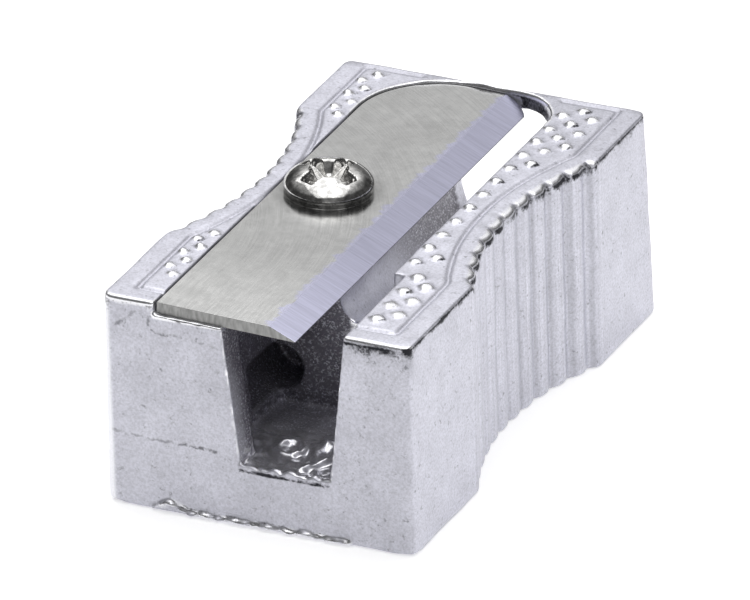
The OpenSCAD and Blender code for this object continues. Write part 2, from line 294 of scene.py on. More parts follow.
def cast_metal(s):
    """Light alloy, die cast and tumbled: a matt pale grey skin with a fine darker speckle, brighter where
    tumbling has rubbed the edges, and near black where residue stays and where shade is painted: under the
    top edge, in the grooves, beside the studs and in corners."""
    material, tree = new_material("cast_light_alloy_tumbled")
    where = add(tree, "ShaderNodeTexCoord").outputs["Object"]
    mm = add(tree, "ShaderNodeVectorMath", {0: where, "Scale": MM}, operation="SCALE").outputs[0]
    grime_and_shade, worn, soot_and_shade, ribbed, dull_and_shade, matt = (
        add(tree, "ShaderNodeAttribute", attribute_name=name).outputs["Fac"]
        for name in ("grime_and_shade", "worn", "soot_and_shade", "ribbed", "dull_and_shade", "matt"))
    tones = []
    for pattern in (SPECKLE, CLOUDS, DIE_MARKS, PINHOLES, SCRATCHES):
        per_mm, detail, coarseness, low, high, tone_at_low, tone_at_high = pattern
        place = add(tree, "ShaderNodeVectorMath", {0: mm, 1: per_mm}, operation="MULTIPLY").outputs[0]
        noise = add(tree, "ShaderNodeTexNoise", {"Vector": place, "Scale": 1.0, "Detail": detail,
                                                 "Roughness": coarseness}).outputs[0]
        tone = add(tree, "ShaderNodeMapRange", {"Value": noise, "From Min": low, "From Max": high,
                                                "To Min": tone_at_low, "To Max": tone_at_high}).outputs[0]
        if pattern is DIE_MARKS:
            tone = add(tree, "ShaderNodeMix", {0: ribbed, 2: 1.0, 3: tone}, data_type="FLOAT").outputs[0]
        tones.append(tone)
    tones += [crack(tree, mm, *line, -s.length * MM / 2) for line in CRACKS]
    # Painted shade: the mark below darkens the skin by up to half.
    tones.append(add(tree, "ShaderNodeMapRange", {"Value": dull_and_shade, "To Min": 1.0, "To Max": 0.5}).outputs[0])
    tone = tones[0]
    for factor in tones[1:]:
        tone = add(tree, "ShaderNodeMath", {0: tone, 1: factor}, operation="MULTIPLY").outputs[0]
    skin = add(tree, "ShaderNodeVectorMath", {0: tuple(s.skin), "Scale": tone}, operation="SCALE").outputs[0]
    lit = add(tree, "ShaderNodeMix", {0: worn, 6: skin, 7: rgba(s.worn)}, data_type="RGBA").outputs[2]
    # Residue and painted shade break up at about 0.12 mm.
    patch = add(tree, "ShaderNodeTexNoise", {"Vector": mm, "Scale": 1 / 0.12, "Detail": 3,
                                             "Roughness": 0.65}).outputs[0]
    edge = add(tree, "ShaderNodeMath", {0: grime_and_shade, 1: patch}, operation="ADD").outputs[0]
    dirt_and_shade = add(tree, "ShaderNodeMapRange", {"Value": edge, "From Min": 0.72, "From Max": 1.08}).outputs[0]
    with_dirt_and_shade = add(tree, "ShaderNodeMix", {0: dirt_and_shade, 6: lit, 7: rgba(s.grime_and_shade)}, data_type="RGBA").outputs[2]
    # Bright flecks show through the graphite and the painted shade in the chamber, 0.1 mm across.
    fleck = add(tree, "ShaderNodeTexNoise", {"Vector": mm, "Scale": 1 / 0.1, "Detail": 3,
                                             "Roughness": 0.7}).outputs[0]
    fleck = add(tree, "ShaderNodeMapRange", {"Value": fleck, "From Min": 0.53, "From Max": 0.62,
                                             "To Min": 1.0, "To Max": 0.0}).outputs[0]
    soot_and_shade = add(tree, "ShaderNodeMath", {0: soot_and_shade, 1: fleck}, operation="MULTIPLY").outputs[0]
    # Graphite, and painted shade deep in the chamber, both take the graphite colour.
    colour = add(tree, "ShaderNodeMix", {0: soot_and_shade, 6: with_dirt_and_shade, 7: rgba(s.graphite)}, data_type="RGBA").outputs[2]
    rough = add(tree, "ShaderNodeMapRange", {"Value": worn, "To Min": 0.50, "To Max": 0.20}).outputs[0]
    rougher = add(tree, "ShaderNodeMath", {0: dirt_and_shade, 1: 0.2}, operation="MULTIPLY").outputs[0]
    rough = add(tree, "ShaderNodeMath", {0: rough, 1: rougher}, operation="ADD").outputs[0]
    cover = add(tree, "ShaderNodeMath", {0: dirt_and_shade, 1: soot_and_shade}, operation="MAXIMUM").outputs[0]
    cover = add(tree, "ShaderNodeMath", {0: cover, 1: matt}, operation="MAXIMUM").outputs[0]
    metal = add(tree, "ShaderNodeMapRange", {"Value": cover, "To Min": 0.86, "To Max": 0.3}).outputs[0]
    grain = add(tree, "ShaderNodeTexNoise", {"Vector": mm, "Scale": 1 / 0.1, "Detail": 3,
                                             "Roughness": 0.6}).outputs[0]
    bump = add(tree, "ShaderNodeBump", {"Height": grain, "Strength": 0.35, "Distance": 0.00001}).outputs[0]
    surface = add(tree, "ShaderNodeBsdfPrincipled", {"Base Color": colour, "Roughness": rough,
                                                     "Metallic": metal, "Normal": bump})
    add(tree, "ShaderNodeOutputMaterial", {"Surface": surface.outputs[0]})
    return material


def ground_steel(s, bevel_start):
    """Spring steel, surface ground: an even satin grey, with fine round marks that catch the light, and a
    painted shadow round the screw's head.
    """
    material, tree = new_material("spring_steel_surface_ground")
    where = add(tree, "ShaderNodeTexCoord").outputs["Object"]
    offset = add(tree, "ShaderNodeVectorMath", {0: where, 1: (s.wheel_x, s.wheel_y, 0)},
                 operation="SUBTRACT").outputs[0]
    mm = add(tree, "ShaderNodeVectorMath", {0: offset, "Scale": MM}, operation="SCALE").outputs[0]
    axis = add(tree, "ShaderNodeSeparateXYZ", {0: mm})
    flat = add(tree, "ShaderNodeCombineXYZ", {0: axis.outputs[0], 1: axis.outputs[1]}).outputs[0]
    away = add(tree, "ShaderNodeVectorMath", {0: flat}, operation="LENGTH").outputs["Value"]
    turn = add(tree, "ShaderNodeMath", {0: axis.outputs[1], 1: axis.outputs[0]},
               operation="ARCTAN2").outputs[0]
    # Marks 0.07 mm apart and some 4 mm long, at 15 mm from the wheel's centre, on circles about it.
    across = add(tree, "ShaderNodeMath", {0: away, 1: 1 / 0.07}, operation="MULTIPLY").outputs[0]
    along = add(tree, "ShaderNodeMath", {0: turn, 1: 15 / 4.0}, operation="MULTIPLY").outputs[0]
    circles = add(tree, "ShaderNodeCombineXYZ", {0: across, 1: along}).outputs[0]
    # Near the tip the last strokes of honing run along the blade, 0.1 mm apart and 1 mm long.
    strokes = add(tree, "ShaderNodeVectorMath", {0: mm, 1: (10.0, 0.9, 1.0)}, operation="MULTIPLY").outputs[0]
    round_marks, hone = (
        add(tree, "ShaderNodeTexNoise", {"Vector": place, "Scale": 1.0, "Detail": 3,
                                         "Roughness": 0.6}).outputs[0]
        for place in (circles, strokes))
    cloud = add(tree, "ShaderNodeTexNoise", {"Vector": mm, "Scale": 1 / 2.5, "Detail": 3}).outputs[0]
    reach = add(tree, "ShaderNodeMath", {0: cloud, 1: 5.0}, operation="MULTIPLY").outputs[0]
    reach = add(tree, "ShaderNodeMath", {0: axis.outputs[1], 1: reach}, operation="ADD").outputs[0]
    near = add(tree, "ShaderNodeMapRange", {"Value": reach, "From Min": -0.5, "From Max": 4.0,
                                            "To Min": 1.0, "To Max": 0.0}).outputs[0]
    marks = add(tree, "ShaderNodeMix", {0: near, 2: round_marks, 3: hone}, data_type="FLOAT").outputs[0]
    # Stains are 0.7 mm across.
    stains = add(tree, "ShaderNodeTexNoise", {"Vector": mm, "Scale": 1 / 0.7, "Detail": 5,
                                              "Roughness": 0.75}).outputs[0]
    # Painted shadow and reflection of the screw's head: the steel darkens round the head, most of it towards
    # the tip, with a ragged edge.
    x, y, z = next(j for j in frame["joints"] if j["name"] == "screw_turn")["pos_m"]
    out = add(tree, "ShaderNodeVectorMath", {0: where, 1: (x + 0.00005, y - 0.0002, z)},
              operation="SUBTRACT").outputs[0]
    out = add(tree, "ShaderNodeVectorMath", {0: out, 1: (MM, MM, 0)}, operation="MULTIPLY").outputs[0]
    out = add(tree, "ShaderNodeVectorMath", {0: out}, operation="LENGTH").outputs["Value"]
    crumbs = add(tree, "ShaderNodeTexNoise", {"Vector": mm, "Scale": 1 / 0.3, "Detail": 3}).outputs[0]
    crumbs = add(tree, "ShaderNodeMath", {0: crumbs, 1: 0.5}, operation="MULTIPLY").outputs[0]
    out = add(tree, "ShaderNodeMath", {0: out, 1: crumbs}, operation="ADD").outputs[0]
    # Each part of the tone: its value, the range that it is read over, and the tones at the ends.
    tone = None
    for value, low, high, tone_at_low, tone_at_high in (
            (marks, 0.3, 0.7, 0.88, 1.08), (stains, 0.3, 0.7, 0.88, 1.10), (near, 0.0, 1.0, 0.88, 1.12),
            (cloud, 0.3, 0.7, 0.94, 1.05), (out, 2.2, 3.0, 0.62, 1.0)):
        part = add(tree, "ShaderNodeMapRange", {"Value": value, "From Min": low, "From Max": high,
                                                "To Min": tone_at_low, "To Max": tone_at_high}).outputs[0]
        tone = part if tone is None else add(tree, "ShaderNodeMath", {0: tone, 1: part},
                                             operation="MULTIPLY").outputs[0]
    colour = add(tree, "ShaderNodeVectorMath", {0: tuple(s.steel), "Scale": tone},
                 operation="SCALE").outputs[0]
    # The bevel's inner border isn't straight: it wanders by a few tenths of a millimetre.
    place = add(tree, "ShaderNodeSeparateXYZ", {0: where})
    stretched = add(tree, "ShaderNodeMath", {0: place.outputs[1], 1: 4.0}, operation="MULTIPLY").outputs[0]
    wander = add(tree, "ShaderNodeCombineXYZ", {0: place.outputs[0], 1: stretched}).outputs[0]
    wander = add(tree, "ShaderNodeTexNoise", {"Vector": wander, "Scale": 300.0, "Detail": 5,
                                              "Roughness": 0.7}).outputs[0]
    border = add(tree, "ShaderNodeMath", {0: wander, 1: 0.0016}, operation="MULTIPLY").outputs[0]
    border = add(tree, "ShaderNodeMath", {0: place.outputs[0], 1: border}, operation="ADD").outputs[0]
    ground = add(tree, "ShaderNodeMapRange", {"Value": border, "From Min": bevel_start + 0.00052,
                                              "From Max": bevel_start + 0.00072}).outputs[0]
    brighter = add(tree, "ShaderNodeMath", {0: tone, 1: 1.22}, operation="MULTIPLY").outputs[0]
    bluish = add(tree, "ShaderNodeVectorMath", {0: tuple(s.bevel), "Scale": brighter},
                 operation="SCALE").outputs[0]
    colour = add(tree, "ShaderNodeMix", {0: ground, 6: colour, 7: bluish}, data_type="RGBA").outputs[2]
    rough = add(tree, "ShaderNodeMapRange", {"Value": marks, "From Min": 0.3, "From Max": 0.7,
                                             "To Min": 0.16, "To Max": 0.24}).outputs[0]
    bump = add(tree, "ShaderNodeBump", {"Height": marks, "Strength": 0.25, "Distance": 0.000004})
    surface = add(tree, "ShaderNodeBsdfPrincipled", {"Base Color": colour, "Roughness": rough,
                                                     "Metallic": 1.0, "Normal": bump.outputs[0]})
    add(tree, "ShaderNodeOutputMaterial", {"Surface": surface.outputs[0]})
    return material


def ground_bevel(s):
    """The same steel, ground across its edge: fine bright and dull lines, bluish from the hard grind."""
    material, tree = new_material("spring_steel_ground_bevel")
    where = add(tree, "ShaderNodeTexCoord").outputs["Object"]
    # Lines 0.09 mm apart along the edge, running the bevel's whole width.
    lines = add(tree, "ShaderNodeVectorMath", {0: where, 1: (400.0, MM / 0.09, 400.0)},
                operation="MULTIPLY").outputs[0]
    marks = add(tree, "ShaderNodeTexNoise", {"Vector": lines, "Scale": 1.0, "Detail": 4,
                                             "Roughness": 0.7}).outputs[0]
    tone = add(tree, "ShaderNodeMapRange", {"Value": marks, "From Min": 0.3, "From Max": 0.7, "To Min": 0.82,
                                            "To Max": 1.12}).outputs[0]
    # The 9 mm next to the tip end are newly ground and brighter.
    along = add(tree, "ShaderNodeSeparateXYZ", {0: where}).outputs[1]
    fresh = add(tree, "ShaderNodeMapRange", {"Value": along, "From Min": -0.0133, "From Max": -0.004,
                                             "To Min": 1.38, "To Max": 1.0}).outputs[0]
    tone = add(tree, "ShaderNodeMath", {0: tone, 1: fresh}, operation="MULTIPLY").outputs[0]
    colour = add(tree, "ShaderNodeVectorMath", {0: tuple(s.bevel), "Scale": tone},
                 operation="SCALE").outputs[0]
    bump = add(tree, "ShaderNodeBump", {"Height": marks, "Strength": 0.3, "Distance": 0.000005})
    surface = add(tree, "ShaderNodeBsdfPrincipled", {"Base Color": colour, "Roughness": 0.3, "Metallic": 1.0,
                                                     "Normal": bump.outputs[0]})
    add(tree, "ShaderNodeOutputMaterial", {"Surface": surface.outputs[0]})
    return material


def sheared_edge(s):
    """The blade's edges, sheared and hardened: duller and darker than its ground faces, in patches."""
    material, tree = new_material("spring_steel_sheared_edge")
    where = add(tree, "ShaderNodeTexCoord").outputs["Object"]
    # Shear marks 0.15 mm apart, upright across the edge.
    stretched = add(tree, "ShaderNodeVectorMath", {0: where, 1: (MM / 0.15, MM / 0.15, MM / 0.5)},
                    operation="MULTIPLY").outputs[0]
    marks = add(tree, "ShaderNodeTexNoise", {"Vector": stretched, "Scale": 1.0, "Detail": 3}).outputs[0]
    tone = add(tree, "ShaderNodeMapRange", {"Value": marks, "From Min": 0.3, "From Max": 0.7, "To Min": 0.36,
                                            "To Max": 0.62}).outputs[0]
    colour = add(tree, "ShaderNodeVectorMath", {0: tuple(s.steel), "Scale": tone},
                 operation="SCALE").outputs[0]
    bump = add(tree, "ShaderNodeBump", {"Height": marks, "Strength": 0.4, "Distance": 0.00001})
    surface = add(tree, "ShaderNodeBsdfPrincipled", {"Base Color": colour, "Roughness": 0.42,
                                                     "Metallic": 1.0, "Normal": bump.outputs[0]})
    add(tree, "ShaderNodeOutputMaterial", {"Surface": surface.outputs[0]})
    return material


def nickel_plate(s):
    """Bright nickel plate over turned steel: mirror-like, with faint ripples from the turning."""
    material, tree = new_material("steel_bright_nickel_plated")
    where = add(tree, "ShaderNodeTexCoord").outputs["Object"]
    mm = add(tree, "ShaderNodeVectorMath", {0: where, "Scale": MM}, operation="SCALE").outputs[0]
    # Ripples about 0.25 mm across.
    ripple = add(tree, "ShaderNodeTexNoise", {"Vector": mm, "Scale": 1 / 0.25, "Detail": 2}).outputs[0]
    rough = add(tree, "ShaderNodeMapRange", {"Value": ripple, "From Min": 0.3, "From Max": 0.7,
                                             "To Min": 0.08, "To Max": 0.15}).outputs[0]
    bump = add(tree, "ShaderNodeBump", {"Height": ripple, "Strength": 0.2, "Distance": 0.00001})
    # A thin uneven film of dirt dulls it in patches of 0.35 mm.
    film = add(tree, "ShaderNodeTexNoise", {"Vector": mm, "Scale": 1 / 0.35, "Detail": 4,
                                            "Roughness": 0.7}).outputs[0]
    film = add(tree, "ShaderNodeMapRange", {"Value": film, "From Min": 0.42, "From Max": 0.62, "To Min": 0.5,
                                            "To Max": 1.0}).outputs[0]
    colour = add(tree, "ShaderNodeVectorMath", {0: tuple(s.plate), "Scale": film},
                 operation="SCALE").outputs[0]
    surface = add(tree, "ShaderNodeBsdfPrincipled", {"Base Color": colour, "Roughness": rough,
                                                     "Metallic": 1.0, "Normal": bump.outputs[0]})
    add(tree, "ShaderNodeOutputMaterial", {"Surface": surface.outputs[0]})
    return material


def floor_board(s):
    """Matt white board: even and pale, so that it only shows the object's soft shadow."""
    material, tree = new_material("matt_white_board")
    path = add(tree, "ShaderNodeLightPath")
    seen = add(tree, "ShaderNodeMath", {0: path.outputs["Is Camera Ray"], 1: path.outputs["Is Glossy Ray"]},
               operation="MAXIMUM").outputs[0]
    seen = add(tree, "ShaderNodeMath", {0: seen, 1: path.outputs["Is Transmission Ray"]},
               operation="MAXIMUM").outputs[0]
    grain = add(tree, "ShaderNodeTexNoise", {"Scale": 900.0, "Detail": 2}).outputs[0]
    tone = add(tree, "ShaderNodeMapRange", {"Value": grain, "To Min": 0.985, "To Max": 1.0}).outputs[0]
    colour = add(tree, "ShaderNodeVectorMath", {0: tuple(s.floor), "Scale": tone},
                 operation="SCALE").outputs[0]
    board = add(tree, "ShaderNodeBsdfPrincipled", {"Base Color": colour, "Roughness": 0.9,
                                                   "Specular IOR Level": 0.1})
    glow = add(tree, "ShaderNodeMath", {0: seen, 1: 0.45}, operation="MULTIPLY").outputs[0]
    lift = add(tree, "ShaderNodeEmission", {"Strength": glow})
    both = add(tree, "ShaderNodeAddShader", {0: board.outputs[0], 1: lift.outputs[0]})
    add(tree, "ShaderNodeOutputMaterial", {"Surface": both.outputs[0]})
    return material


# ---------------------------------------------------------------- cast body
# Places on the casting, in mm: X from its middle, Y from the tip end, Z from the base. Each _SPAN is along
# X: where something starts, is full, starts to fade and has ended.
BORDER = 1.3  # plain border round the studs
LEFT_STUDS, LEFT_ROWS = 5.42, 0.5  # from the middle to the left studs' first row, and between their rows
WINDOW_RIGHT, WINDOW_RIGHT_NEAR, WINDOW_STEP_Y = 3.7, 4.5, 7.5
WINDOW_END_Y = 20.5
SLOT_SPAN = (-5.6, -5.1, 4.2, 4.6)
FLASH_SPAN = (-5.3, -5.1, 4.3, 4.5)
FLOOR_EDGE_SPAN = (-1.1, -0.9, 3.4, 3.5)
SEAT_EDGE_SPAN = (-5.1, -4.9, -1.8, -1.6)
SEAT_LEFT, SEAT_HEIGHT, SEAT_TILT = -5, 9.8, math.radians(1.8)
CHAMBER_LENGTH = 6.6
VOXEL = 0.085  # grain of the casting's mesh before it is thinned
THINNED = 0.305  # share of that mesh's faces which is kept


def stud_places(s):
    """Middles of the studs on the top face, in mm: staggered rows beside the window and beside the blade."""
    out = []
    pitch, radius, half = s.stud_pitch * MM, s.waist_radius * MM, s.width * MM / 2
    middle, r = half + radius - s.waist_depth * MM, radius + BORDER
    for side in (-1, 1):
        for row in range(4):
            for j in range(19):
                y = s.stud_start * MM + (j + (row % 2) / 2) * pitch
                x = (WINDOW_RIGHT_NEAR if y < WINDOW_STEP_Y else WINDOW_RIGHT) + 0.45 + row * pitch / 2
                if side < 0:
                    x, y = LEFT_STUDS + LEFT_ROWS * row, y + pitch / 2
                dy = abs(y - s.waist_middle * MM)
                inner = min(half - BORDER, middle - math.sqrt(r * r - dy * dy) if dy < r else 99)
                if x < inner - (0.25 if side < 0 else 0.375) and y < (s.length - s.slant) * MM - 0.875:
                    out.append((side * x, y))
    return out


def survey(points, s):
    """The points in mm from the foot of the tip end, and how far inside the sides, the front, the back and
    the nearest of these walls each one lies."""
    p = points + [0, s.length * MM / 2, 0]
    x, y, z = p.T
    r = s.waist_radius * MM
    middle = s.width * MM / 2 + r - s.waist_depth * MM
    dy = np.clip(np.abs(y - s.waist_middle * MM), 0, r)
    side = np.minimum(s.width * MM / 2, middle - np.sqrt(r * r - dy * dy)) - np.abs(x)
    back = (s.length - s.slant * z / (s.height * MM)) * MM - y
    return p, side, y, back, np.minimum(np.minimum(side, y), back)


def past_seat(x, y, s):
    """How far a point lies past the round end of the blade seat and window."""
    end = (s.length - s.slant - s.rim) * MM
    left = np.hypot(x + 1.0, y - (end - 4.0)) - 4.0
    right = np.hypot(x - 1.2, y - (end - 2.5)) - 2.5
    return np.where(x < -1.0, left, np.where(x < 1.2, y - end, right))


def rib_phase(y, s):
    """Position along the grip in ribs: whole numbers are the middles of ribs."""
    return (y - s.waist_middle * MM) / (s.rib_pitch * MM) + (s.ribs - 1) / 2


def gate_rise(x):
    """How far the broken gate lifts the flash above the foot."""
    return 0.36 * bell(x, -4.35, 0.5)


def soften(points, edges, s):
    """Round the outer edges, most of all on the ribs and at the foot, and let the ribs' tops droop."""
    high = s.height * MM
    p, side, front, _, inside = survey(points, s)
    x, y, z = p.T
    in_slot = span(x, *SLOT_SPAN) * smooth_step(2.0, 1.2, y) * smooth_step(2.2, 2.7, z)
    strip = smooth_step(0.9, 0.5, inside) * (1 - 0.9 * in_slot)
    grip = smooth_step(0.8, 0.2, np.abs(y - s.waist_middle * MM) - s.ribs / 2 * s.rib_pitch * MM)
    soft = strip * np.where(z > high / 2, 0.3 + 0.6 * grip * smooth_step(0.9, 0.5, side), 0.6)
    soft = np.maximum(soft, strip * smooth_step(1.2, 0.6, z))
    foot = strip * smooth_step(1.0, 0.5, z) * smooth_step(1.0, 0.6, np.maximum(side, front))
    for weight, turns in ((np.ones(len(points)), 2), (soft, 16), (foot, 30)):
        points = relax(points, edges, weight, turns)
    p, side, front, _, _ = survey(points, s)
    crest = grip * smooth_step(0.45, 0.0, side) * smooth_step(high - 0.3, high - 0.05, p[:, 2])
    off = rib_phase(front, s) % 1
    valley = smooth_step(0.30, 0.48, np.minimum(off, 1 - off))
    points[:, 2] -= (0.07 + 0.25 * valley) * crest ** 1.3 * np.where(p[:, 0] < 0, 0.35, 1.0)
    return points


def roughness_of_cast(p):
    """Height of the cast skin's unevenness, and of the lumps where metal pooled on the chamber's floor."""
    x, y, z = p.T
    skin = 0.012 * relief(p, 1.6, 3) + 0.006 * relief(p, 0.6, 4)
    chamber = (y > 0.15) & (y < 6.9) & (x > -2.3) & (x < 3.6) & (z < 3.5) & (z > 2.5)
    pool = smooth_step(4.4, 2.6, y) * smooth_step(0.1, 0.6, y)
    swirl = np.hypot(x - 0.4, y - 2.4)
    knob = bell(np.hypot(x - 1.8, y - 3.3), 0.0, 0.45)
    along, across = (x - 1.72) * 0.54 + (y - 0.48) * 0.84, (x - 1.72) * 0.84 - (y - 0.48) * 0.54
    wave = bell(across, 0.0, 0.14) * smooth_step(-0.3, 0.1, along) * smooth_step(1.9, 1.4, along)
    lumps = 0.045 * relief(p, 0.8, 6) + 0.02 * relief(p, 0.25, 8)
    lumps = lumps + pool * (0.04 * relief(p, 0.4, 7) + 0.03 * relief(p, 0.2, 9)
                            + 0.2 * bell(swirl, 0.6, 0.14) + 0.36 * knob + 0.2 * wave)
    return skin + np.where(chamber, lumps, 0)


def stud_lift(p, out, s):
    """Height of the studs at each point of the top face: small pyramids with worn tops, none quite alike."""
    x, y, z = p.T
    top = (out[:, 2] > 0.8) & (z > s.height * MM - 0.06)
    lift = np.zeros(len(p))
    for n, (sx, sy) in enumerate(stud_places(s)):
        near = top & (np.abs(x - sx) < 0.55) & (np.abs(y - sy) < 0.55)
        wide = s.stud_size * MM * (1.25 if sx > 0 and sy < WINDOW_STEP_Y else 0.85 if sx < 0 else 1.0)
        u = 1 - (np.abs(x[near] - sx) ** 1.3 + np.abs(y[near] - sy) ** 1.3) / wide ** 1.3
        size = 0.7 + 0.6 * ((n * 7) % 5) / 4
        lift[near] = np.maximum(lift[near], size * np.clip(u * 1.35, 0, 1) ** 0.8)
    return lift * s.stud_height * MM


def add_flash(points, p, front, out, s):
    """Raise the flash along the foot, and the burrs at the chamber's floor, the seat's end and its edge."""
    high = s.height * MM
    x, y, z = p.T
    line = 0.21 + 0.05 * relief(np.stack([x, 0 * x, 0 * x], 1), 0.4, 11) + gate_rise(x)
    ridge = bell(z, line, 0.09) * (0.75 + 0.6 * relief(p, 0.25, 12))
    ridge = ridge + 0.4 * smooth_step(0.02, -0.04, z - line)
    flash = 0.19 * span(x, *FLASH_SPAN) * np.clip(ridge, 0, 1.2)
    points[:, 1] -= np.where(front < 0.4, flash, 0) * (out[:, 1] < -0.3)
    rise = bell(y, 0.1, 0.14) * span(x, *FLOOR_EDGE_SPAN) * (z > 2.6) * (z < 3.4)
    points[:, 2] += np.where(out[:, 2] > 0.1, 0.15 * rise * (0.7 + 0.7 * relief(p, 0.28, 13)), 0)
    points[:, 1] -= np.where((out[:, 1] < -0.3) & (z < 3.1), 0.06 * bell(z, 2.95, 0.12), 0) * (
        span(x, *FLOOR_EDGE_SPAN) * (y < 0.3))
    past = past_seat(x, y, s)
    far_edge = (y > WINDOW_END_Y) & (np.abs(past) < 0.2) & (z > high - 0.2)
    points[:, 2] += np.where(far_edge, 0.035 * (1 + 0.6 * relief(p, 0.5, 15)) * bell(past, 0.03, 0.09), 0)
    burr = bell(z, 9.76, 0.07) * span(x, *SEAT_EDGE_SPAN) * (y < 0.3)
    points[:, 1] -= 0.09 * burr * (0.7 + 0.6 * relief(p, 0.3, 14))


def cast_shape(s):
    """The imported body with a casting's soft edges, its studs as small pyramids and its rough flash."""
    high = s.height * MM
    points, _, faces = read_mesh(frame["nodes"]["body"].data)
    points = points * MM
    points[:, 2] = np.minimum(points[:, 2], high)
    work = link("body_work", make_mesh("body_work", points, faces))
    dense = applied(work, "REMESH", mode="VOXEL", voxel_size=VOXEL, adaptivity=0.0)
    bpy.data.objects.remove(work)
    points, edges, faces = read_mesh(dense)
    points = soften(points, edges, s)
    out = normals_of(make_mesh("body_dense", points, faces))
    p, _, front, _, _ = survey(points, s)
    points = points + out * roughness_of_cast(p)[:, None]
    # The mould's draft: the left wall stands out a little towards the foot.
    points[:, 0] -= 0.2 * smooth_step(0.0, -5.0, p[:, 0]) * np.clip(1 - p[:, 2] / high, 0, 1)
    points[:, 2] += stud_lift(p, out, s)
    add_flash(points, p, front, out, s)
    points[:, 2] = np.maximum(points[:, 2], 0.0)
    work = link("body_work", make_mesh("body_work", points, faces))
    light = applied(work, "DECIMATE", decimate_type="COLLAPSE", ratio=THINNED)
    bpy.data.objects.remove(work)
    return light


def cast_survey(mesh, s):
    """Where each point of the finished casting lies and faces, for the functions that mark its skin."""
    points = np.empty(len(mesh.vertices) * 3)
    mesh.vertices.foreach_get("co", points)
    m = SimpleNamespace(high=s.height * MM, out=normals_of(mesh))
    m.p, m.side, m.front, m.back, m.inside = survey(points.reshape(-1, 3), s)
    m.x, m.y, m.z = m.p.T
    m.rough = relief(m.p, 0.5, 21)
    m.wall = smooth_step(0.5, 0.3, m.inside) * smooth_step(0.8, 0.5, m.out[:, 2])
    m.phase = rib_phase(m.y, s)
    m.off = m.phase - np.round(m.phase)
    m.on_rib = (m.phase > -0.8) & (m.phase < s.ribs - 0.2) & (m.side < 0.6)
    m.notch = bell(m.phase - 0.5 - np.round(m.phase - 0.5), 0.0, 0.10)
    m.near_corner = bell(m.x, 5.9, 1.3) * (m.front < 0.4) + (
        0.7 * bell(m.y, 0.2, 0.4) * (m.side < 0.4)) + 0.25 * bell(m.y, 4.6, 0.8) * (m.side < 0.4)
    m.right_corner = (m.front < 0.4) & (m.x > 4.2)
    past = np.abs(past_seat(m.x, m.y, s))
    m.window_end = (m.y > WINDOW_END_Y) & (past < 0.4) & (m.z < m.high - 0.12) & (m.z > 6.8) & (m.x > 1.4)
    m.far_edge = (m.y > WINDOW_END_Y) & (past < 0.13) & (m.z > m.high - 0.2)
    return m


def residue_and_shade(m):
    """Grime and painted shade: a painted dark line under the rounded top edge, darker patches near the near
    corner, darkening under each rib's top, painted shade in the ribs' grooves and in corners.
    """
    high, x, z, rough, off = m.high, m.x, m.z, m.rough, m.off
    # Painted shade: a dark line just under the rounded top edge, where the edge's reflection turns dark, on
    # the walls and along the sides' straight top edges.
    side_edge_shade = smooth_step(0.4, 0.25, m.side) * smooth_step(0.97, 0.8, m.out[:, 2]) * (
        smooth_step(0.9, 0.7, -m.out[:, 1]))
    grime_and_shade = m.wall * bell(z, high - 0.27, 0.06) * (0.40 + 0.2 * rough)
    grime_and_shade = np.maximum(grime_and_shade, side_edge_shade * bell(z, high - 0.15, 0.075) * (0.62 + 0.15 * rough))
    # Darker in patches towards the top near the near right corner.
    patches = 0.42 + 0.28 * relief(m.p, 0.35, 22)
    grime_and_shade = np.maximum(grime_and_shade, m.wall * m.near_corner * smooth_step(1.5, 0.3, high - z) * patches)
    # Darker under each rib's top; painted shade in the grooves between the ribs.
    blob = smooth_step(0.5, 0.3, np.abs(off - 0.04)) * smooth_step(high - 0.58, high - 0.38, z)
    blob = blob * smooth_step(high - 0.16, high - 0.24, z)
    tops = smooth_step(high - 0.8, high - 0.45, z) * smooth_step(high - 0.1, high - 0.2, z)
    under = smooth_step(0.6, 0.4, m.inside)
    groove_shade = np.where(x < 0, 1.3, 1.0) * smooth_step(0.36, 0.48, np.abs(off)) * (
        smooth_step(0.5, 0.3, m.side)) * smooth_step(high - 0.6, high - 0.3, z)
    on_ribs = under * np.maximum((0.5 + 0.3 * rough) * blob, 0.45 * m.notch * tops)
    grime_and_shade = np.where(m.on_rib, np.maximum(on_ribs, (0.27 + 0.2 * rough) * groove_shade), grime_and_shade)
    # Painted shade: the window's end wall, in the shade under the blade's end, is darkened.
    grime_and_shade = np.where(m.window_end, 0.34 + 0.2 * rough, grime_and_shade)
    # Residue and painted shade along the foot, in the broken gate's groove, and under the burr of the
    # chamber's floor.
    foot = (m.front < 0.45) * bell(z, 0.35 + gate_rise(x), 0.05) * (0.36 + 0.25 * rough)
    foot = foot * span(x, *FLASH_SPAN)
    burr = (m.front < 0.3) * bell(z, 2.81, 0.11) * (0.7 + 0.3 * rough) * span(x, *FLOOR_EDGE_SPAN)
    grime_and_shade = np.maximum(grime_and_shade, np.maximum(foot, burr))
    # Painted shade: at the near right corner the dark line under the edge runs right up to the rounding.
    corner_edge_shade = bell(z, high - 0.27, 0.07) * (0.66 + 0.15 * rough)
    grime_and_shade = np.where(m.right_corner, np.maximum(grime_and_shade, corner_edge_shade), grime_and_shade)
    return np.where(m.far_edge, 0.0, grime_and_shade)


